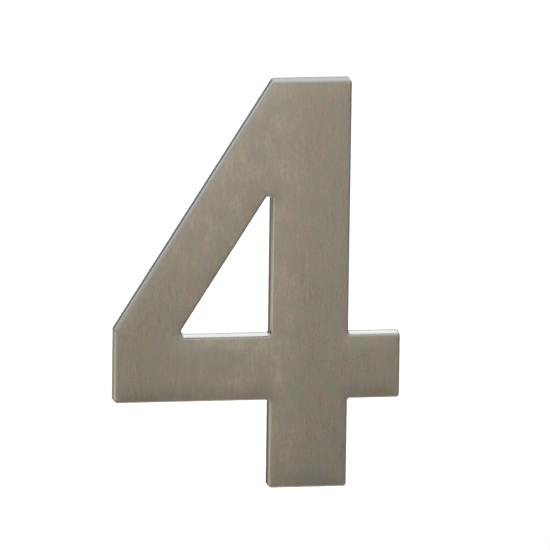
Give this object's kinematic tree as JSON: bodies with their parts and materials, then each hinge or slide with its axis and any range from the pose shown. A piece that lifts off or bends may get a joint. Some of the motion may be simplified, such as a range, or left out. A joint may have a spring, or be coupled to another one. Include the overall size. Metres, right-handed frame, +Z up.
{
  "type": "house number",
  "caption": "Cast metal house number in the shape of a 4, with rounded front edges, a hollow back and hidden threaded studs for fixing it flat to a wall.",
  "frame": {"origin": "on the wall plane, midway between the axes of the two fixing studs, at half the numeral's height", "axes": "+Z up the numeral, +X to its right as seen from the front, +Y from the face into the wall"},
  "size_m": [0.0881, 0.0428, 0.1276],
  "materials": {
    "satin_nickel": "satin nickel plate, brushed upright on the face",
    "zinc_steel": "zinc-plated threaded rod"
  },
  "bodies": {
    "root": {"number_plate": "satin_nickel", "wall_studs": "zinc_steel"}
  },
  "joints": []
}
